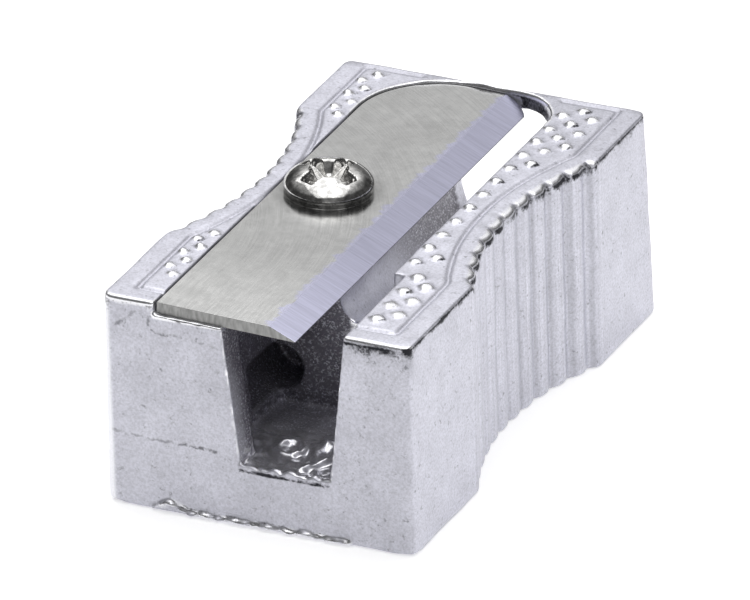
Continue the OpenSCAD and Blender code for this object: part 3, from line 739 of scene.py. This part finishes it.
def polish(m):
    """Where handling and tumbling have rubbed the casting bright: its top edges, ribs' tops and burrs."""
    high, x, z = m.high, m.x, m.z
    rib_tops = smooth_step(0.46, 0.36, np.abs(m.off)) * smooth_step(high - 0.24, high - 0.12, z)
    worn = smooth_step(0.5, 0.25, np.minimum(m.side, m.front)) * smooth_step(high - 0.34, high - 0.2, z)
    worn = worn * smooth_step(0.995, 0.97, m.out[:, 2]) * np.where(
        m.on_rib, rib_tops, np.where(m.front < 0.4, 1.0, 0.0))
    worn = np.where(m.right_corner, worn * smooth_step(high - 0.17, high - 0.07, z), worn)
    worn = np.where(m.far_edge, 1.0, worn)
    in_slot = (x > FLASH_SPAN[0]) & (x < FLASH_SPAN[3]) & (z > 2.6) & (z < high - 0.9)
    slot_edge = (m.front < 0.11) & (m.out[:, 1] > -0.93) & in_slot
    worn = np.where(slot_edge, np.clip(0.3 + 0.5 * relief(m.p, 0.25, 23), 0, 1), worn)
    seat_edge = (x > SEAT_EDGE_SPAN[0]) & (x < SEAT_EDGE_SPAN[3]) & (m.front < 0.3) & (z > 9.62) & (z < 9.95)
    worn = np.where(seat_edge, 1.0, worn)
    above = z - gate_rise(x)
    flash = smooth_step(0.4, 0.2, m.front) * smooth_step(0.40, 0.30, above) * smooth_step(0.06, 0.12, above)
    crumbs = np.clip(0.7 + 0.5 * relief(m.p, 0.3, 25), 0, 1)
    worn = np.maximum(worn, flash * span(x, *FLASH_SPAN) * crumbs)
    return np.maximum(worn, 0.8 * smooth_step(0.4, 0.15, m.side) * smooth_step(0.4, 0.2, m.front) * (x < 0))


def mark_studs(m, grime_and_shade, worn, s):
    """Brighten each stud's top and paint shadow at the foot of its right side, away from the light; gives
    worn back.
    """
    for sx, sy in stud_places(s):
        d = np.abs(m.x - sx) + np.abs(m.y - sy)
        worn = np.maximum(worn, np.where(m.z > m.high + 0.03, smooth_step(0.5, 0.3, d), 0))
        ring = (np.abs(m.x - sx) < 0.7) & (np.abs(m.y - sy) < 0.7) & (np.abs(m.z - m.high) < 0.1)
        # Painted shadow: only the side of each stud facing away from the light, to the right, is darkened.
        lean = smooth_step(0.0, 0.22, m.x[ring] - sx)
        dirt_and_shade = (0.42 + 0.2 * m.rough[ring]) * bell(d[ring], 0.36, 0.12) * lean
        grime_and_shade[ring] = np.maximum(grime_and_shade[ring], dirt_and_shade)
    return worn


def cast_marks(mesh, s):
    """Store where the casting is grimy or painted with shade, rubbed bright, dark with graphite and painted
    shade, toned down and painted darker, matt or ribbed.
    """
    m = cast_survey(mesh, s)
    high, out, x, y, z = m.high, m.out, m.x, m.y, m.z
    grime_and_shade = residue_and_shade(m)
    worn = mark_studs(m, grime_and_shade, polish(m), s)
    # Graphite lines the chamber and the pencil hole, but the window lets a finger wipe its right side;
    # painted shade darkens them further in.
    seat = SEAT_HEIGHT - (x - SEAT_LEFT) * math.tan(SEAT_TILT)
    ceiling = np.where(x > 2.0, 9.75, seat - 0.15)
    within = (y > 0.12) & (z > 0.6) & (z < ceiling) & (m.inside > 0.1) & (x > -5.5)
    in_chamber = within & (y < 6.65) & (x < 4.4) & (z > 2.6)
    soot_and_shade = np.where(within & (m.inside > 0.9), 0.9 * smooth_step(0.4, -1.2, x), 0)
    # Painted shade: the chamber darkens towards its back, and left of the middle also higher up under the
    # blade.
    depth = np.where(x < 0.2, 0.35 + 0.55 * smooth_step(0.2, 1.4, y) + 0.5 * smooth_step(6.0, 9.0, z),
                     0.15 + 0.75 * smooth_step(0.3, 2.6, y))
    soot_and_shade = np.where(in_chamber, np.maximum(soot_and_shade, np.minimum(depth, 0.95)), soot_and_shade)
    lip = (np.abs(y - CHAMBER_LENGTH) < 0.14) & (x > 1.5) & (m.inside > 0.5) & (z > 3) & (z < high - 0.7)
    soot_and_shade = np.where(lip, 0, soot_and_shade)
    worn = np.where(lip, 1, worn)
    floor = in_chamber & (z < 3.6) & (out[:, 2] > 0.2)
    # Painted shade: the chamber's floor darkens towards its back.
    soot_and_shade = np.where(floor, 0.05 + 0.6 * smooth_step(2.2, 5.0, y), soot_and_shade)
    worn = np.where(floor, 0.85 * smooth_step(5.2, 3.2, y), worn)
    top = out[:, 2] > 0.5
    # Painted shade, as a softer darkening: in the grooves between the ribs and towards the top near the near
    # right corner. The top is also darker along its back edge and at its far right.
    dull_and_shade = np.where(m.on_rib, m.notch * 0.4, 0)
    dull_and_shade = np.maximum(dull_and_shade, 0.5 * m.wall * m.near_corner * smooth_step(2.2, 0.5, high - z))
    dull_and_shade = np.maximum(dull_and_shade, 0.4 * smooth_step(0.75, 0.35, m.back) * top)
    dull_and_shade = np.maximum(dull_and_shade, 0.2 * smooth_step(17.0, 20.0, y) * (x > 2.0) * top)
    # Painted shade: the tip end's face is darker than the right side, as it gets less light.
    tip_end = (m.front < 0.3) * smooth_step(-0.3, -0.8, out[:, 1])
    dull_and_shade = np.maximum(dull_and_shade, (0.30 + 0.05 * relief(m.p, 1.2, 24)) * tip_end)
    store(mesh, "grime_and_shade", grime_and_shade)
    store(mesh, "worn", worn)
    store(mesh, "soot_and_shade", soot_and_shade)
    # Painted shade on the window's end wall.
    store(mesh, "dull_and_shade", np.where(m.window_end, 1.0, dull_and_shade))
    store(mesh, "matt", in_chamber * smooth_step(3.0, 1.0, y) * (z > 3.3))
    store(mesh, "ribbed", smooth_step(0.9, 0.5, m.side) * ((m.phase > -1.2) & (m.phase < s.ribs + 0.2)))


class SHARPENER_OT_body(bpy.types.Operator):
    """Make the cast body, with soft edges, studs, flash, marks of wear and painted shade"""
    bl_idname = "sharpener.body"
    bl_label = "Cast body"

    def execute(self, context):
        s = context.scene.sharpener_casting
        mesh = cast_shape(s)
        cast_marks(mesh, s)
        mesh.transform(Matrix.Scale(1 / MM, 4))
        mesh.name = "body_casting"
        mesh.materials.clear()
        mesh.materials.append(cast_metal(s))
        mesh.shade_smooth()
        piece = link("body_casting", mesh)
        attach(piece, "body")
        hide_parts("body")
        return {"FINISHED"}


# ---------------------------------------------------------------- blade
class SHARPENER_OT_blade(bpy.types.Operator):
    """Make the flat blade, with broken edges and a separately ground bevel"""
    bl_idname = "sharpener.blade"
    bl_label = "Blade"

    def execute(self, context):
        s = context.scene.sharpener_blade
        shape = bmesh.new()
        shape.from_mesh(frame["nodes"]["blade"].data)
        bmesh.ops.remove_doubles(shape, verts=shape.verts, dist=1e-7)
        bmesh.ops.dissolve_limit(shape, angle_limit=math.radians(1), verts=shape.verts, edges=shape.edges)
        sharp = [e for e in shape.edges if len(e.link_faces) == 2 and e.calc_face_angle() > math.radians(25)]
        bmesh.ops.bevel(shape, geom=sharp, offset=s.edge_round, segments=2, profile=0.5, affect="EDGES",
                        clamp_overlap=True)
        mesh = bpy.data.meshes.new("blade_ground")
        shape.to_mesh(mesh)
        shape.free()
        bevel_start = max(v.co.x for v in mesh.vertices) - s.bevel_width
        for material in (ground_steel(s, bevel_start), ground_bevel(s), sheared_edge(s)):
            mesh.materials.append(material)
        for face in mesh.polygons:
            if face.normal.x > 0.25 and face.normal.z > 0.7 and face.area > 1e-6:
                face.material_index = 1
            elif abs(face.normal.z) < 0.5:
                face.material_index = 2
            face.use_smooth = face.area < 2e-7
        piece = link("blade_ground", mesh)
        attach(piece, "blade")
        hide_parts("blade")
        return {"FINISHED"}


# ---------------------------------------------------------------- screw
CROSS_TURN = math.radians(70)  # from the X axis to the first arm of the cross recess


def head_height(x, y, s):
    """Height of the head's top above its seat at x, y, in mm: round crown, upright side, cross recess."""
    radius = s.head * MM / 2
    r = np.hypot(x, y)
    z = s.rim * MM + s.dome * MM * (1 - np.minimum(r / radius, 1) ** 2.8) ** 0.65
    depth = np.zeros_like(r)
    for turn in (CROSS_TURN, CROSS_TURN + math.pi / 2):
        along = np.abs(x * math.cos(turn) + y * math.sin(turn))
        across = np.abs(-x * math.sin(turn) + y * math.cos(turn))
        arm = smooth_step(0.42, 0.22, across) * smooth_step(1.54, 1.30, along)
        depth = np.maximum(depth, arm * (0.34 + 0.5 * smooth_step(1.4, 0.3, along)))
    return z - np.maximum(depth, 0.7 * smooth_step(0.95, 0.45, r))


def screw_shape(s):
    """Head with its cross recess, and the thread below it, in mm from the middle of the seat."""
    radius, thread = s.head * MM / 2, s.shank * MM / 2
    length, pitch = s.shank_length * MM, s.pitch * MM
    turns, rings, step, thread_depth = 144, 84, 0.04, 0.2
    points, faces = [(0.0, 0.0, float(head_height(np.array(0.0), np.array(0.0), s)))], []
    angles = np.linspace(0, 2 * math.pi, turns, endpoint=False)

    def ring(r, z):
        base = len(points)
        zs = z if np.ndim(z) else np.full(turns, z)
        rs = r if np.ndim(r) else np.full(turns, r)
        points.extend(zip((rs * np.cos(angles)).tolist(), (rs * np.sin(angles)).tolist(), zs.tolist()))
        return base

    def join(a, b):
        for i in range(turns):
            j = (i + 1) % turns
            faces.append((a + i, a + j, b + j, b + i))

    last = None
    for k in range(1, rings + 1):
        r = radius * math.sin(k / rings * math.pi / 2)
        base = ring(r, head_height(r * np.cos(angles), r * np.sin(angles), s))
        if last is None:
            faces.extend((0, base + i, base + (i + 1) % turns) for i in range(turns))
        else:
            join(base, last)
        last = base
    top = float(head_height(np.array(radius), np.array(0.0), s))
    core = thread - thread_depth
    for r, z in ((radius, top * 0.75), (radius - 0.02, top * 0.6), (radius, top * 0.35), (radius, 0.05),
                 (radius - 0.03, 0), (core, 0.0)):
        base = ring(r, z)
        join(base, last)
        last = base
    for k in range(1, int(length / step) + 1):
        z = -k * step
        wave = 1 - np.abs(((z / pitch - angles / (2 * math.pi)) % 1) * 2 - 1)
        grow = smooth_step(-0.15, -0.6, z) * smooth_step(-length, -length + 0.7, z)
        point = 0.25 * (1 - smooth_step(-length, -length + 0.35, z))
        base = ring(core + (thread - core) * np.clip(wave * 1.5 - 0.25, 0, 1) * grow - point, z)
        join(base, last)
        last = base
    points.append((0.0, 0.0, -length))
    faces.extend((last + i, len(points) - 1, last + (i + 1) % turns) for i in range(turns))
    return points, faces


class SHARPENER_OT_screw(bpy.types.Operator):
    """Make the plated screw, with its cross recess and thread"""
    bl_idname = "sharpener.screw"
    bl_label = "Screw"

    def execute(self, context):
        s = context.scene.sharpener_screw
        points, faces = screw_shape(s)
        mesh = make_mesh("screw_plated", points, faces)
        joint = next(j for j in frame["joints"] if j["name"] == "screw_turn")
        axis = Vector(joint["axis"]).normalized()
        seat = Vector(joint["pos_m"])
        tilt = Vector((0, 0, 1)).rotation_difference(axis).to_matrix().to_4x4()
        top = max(v.co.z for v in frame["nodes"]["screw"].data.vertices)
        seat = seat + axis * ((top - (s.rim + s.dome)) - seat.z) / axis.z
        mesh.transform(Matrix.Translation(seat) @ tilt @ Matrix.Scale(1 / MM, 4))
        mesh.materials.append(nickel_plate(s))
        mesh.shade_smooth()
        mesh.set_sharp_from_angle(angle=math.radians(50))
        piece = link("screw_plated", mesh)
        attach(piece, "screw")
        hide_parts("screw")
        return {"FINISHED"}


# ---------------------------------------------------------------- stage
# Directions in the room: to the middle of the softbox, and across it.
TO_SOFTBOX, ACROSS_SOFTBOX = (-0.112, 0.233, 0.966), (0.907, 0.42, -0.028)
# The camera's place in metres, and the directions across its view, down it, and to the object.
CAMERA_PLACE = (0.263367, -0.548525, 0.309691)
ACROSS, DOWN, AHEAD = ((0.906898, 0.420392, -0.028392), (0.165203, -0.416758, -0.89388),
                       (-0.387612, 0.805968, -0.447407))
# Each lamp's name, its place and width in metres, and its power over the softbox setting.
LAMPS = (("softbox", (0.035, -0.06, 0.34), 0.42, 1.06), ("top_light", (-0.20, 0.18, 0.38), 0.30, 0.6))


class SHARPENER_OT_stage(bpy.types.Operator):
    """Make the floor, the soft light and the camera"""
    bl_idname = "sharpener.stage"
    bl_label = "Stage"

    def execute(self, context):
        s = context.scene.sharpener_stage
        corners = [(-1, -1, 0), (1, -1, 0), (1, 1, 0), (-1, 1, 0)]
        floor = link("floor", make_mesh("floor", corners, [(0, 1, 2, 3)]))
        floor.location.z = -0.00002
        floor.data.materials.append(floor_board(s))

        # A softbox hangs over the object and behind it, narrower across than it is deep; the rest is dim.
        world = bpy.data.worlds.new("studio")
        context.scene.world = world
        world.use_nodes = True
        tree = world.node_tree
        tree.nodes.clear()
        way = add(tree, "ShaderNodeTexCoord").outputs["Generated"]
        to_box, aside = (
            add(tree, "ShaderNodeVectorMath", {0: way, 1: axis}, operation="DOT_PRODUCT").outputs["Value"]
            for axis in (TO_SOFTBOX, ACROSS_SOFTBOX))
        level = add(tree, "ShaderNodeMapRange", {"Value": to_box, "From Min": 0.49, "From Max": 0.74,
                    "To Min": 0.20, "To Max": 1.04}, interpolation_type="SMOOTHSTEP").outputs[0]
        aside = add(tree, "ShaderNodeMath", {0: aside, 1: 0.12}, operation="SUBTRACT").outputs[0]
        aside = add(tree, "ShaderNodeMath", {0: aside}, operation="ABSOLUTE").outputs[0]
        aside = add(tree, "ShaderNodeMapRange", {"Value": aside, "From Min": 0.30, "From Max": 0.52,
                    "To Min": 1.0, "To Max": 0.35}, interpolation_type="SMOOTHSTEP").outputs[0]
        level = add(tree, "ShaderNodeMath", {0: level, 1: aside}, operation="MULTIPLY").outputs[0]
        sky = add(tree, "ShaderNodeBackground", {"Color": (1, 1, 1, 1), "Strength": level})
        add(tree, "ShaderNodeOutputWorld", {"Surface": sky.outputs[0]})

        for name, place, size, share in LAMPS:
            lamp = bpy.data.lights.new(name, "AREA")
            lamp.size, lamp.energy = size, s.softbox_power * share
            holder = bpy.data.objects.new(name, lamp)
            context.scene.collection.objects.link(holder)
            holder.location = place
            to_object = Vector((0, 0, 0.005)) - Vector(place)
            holder.rotation_euler = to_object.to_track_quat("-Z", "Y").to_euler()

        lens = bpy.data.cameras.new("camera")
        lens.lens, lens.sensor_width = 725.0, 36
        lens.clip_start, lens.clip_end = 0.01, 10
        camera = bpy.data.objects.new("camera", lens)
        context.scene.collection.objects.link(camera)
        camera.location = CAMERA_PLACE
        camera.rotation_euler = Matrix((ACROSS, -Vector(DOWN), -Vector(AHEAD))).transposed().to_euler()
        context.scene.camera = camera
        context.scene.view_settings.view_transform = "Standard"
        return {"FINISHED"}


class SHARPENER_PT_panel(bpy.types.Panel):
    """List the steps and their sizes and colours"""
    bl_label = "Metal wedge sharpener"
    bl_idname = "SHARPENER_PT_panel"
    bl_space_type = "VIEW_3D"
    bl_region_type = "UI"
    bl_category = "Sharpener"

    def draw(self, context):
        scene = context.scene
        for operator, group in STEPS:
            box = self.layout.box()
            box.operator(operator.bl_idname)
            settings = getattr(scene, group)
            for key in settings.bl_rna.properties.keys():
                if key not in {"rna_type", "name"}:
                    box.prop(settings, key)


STEPS = ((SHARPENER_OT_stage, "sharpener_stage"), (SHARPENER_OT_body, "sharpener_casting"),
         (SHARPENER_OT_blade, "sharpener_blade"), (SHARPENER_OT_screw, "sharpener_screw"))
GROUPS = {"sharpener_stage": StageSettings, "sharpener_casting": CastingSettings,
          "sharpener_blade": BladeSettings, "sharpener_screw": ScrewSettings}
CLASSES = (*GROUPS.values(), *(operator for operator, _ in STEPS), SHARPENER_PT_panel)


def register():
    for cls in CLASSES:
        bpy.utils.register_class(cls)
    for name, group in GROUPS.items():
        setattr(bpy.types.Scene, name, PointerProperty(type=group))


def unregister():
    for name in GROUPS:
        delattr(bpy.types.Scene, name)
    for cls in reversed(CLASSES):
        bpy.utils.unregister_class(cls)


def main():
    register()
    bpy.ops.sharpener.stage()
    bpy.ops.sharpener.body()
    bpy.ops.sharpener.blade()
    bpy.ops.sharpener.screw()


if __name__ == "__main__":
    main()
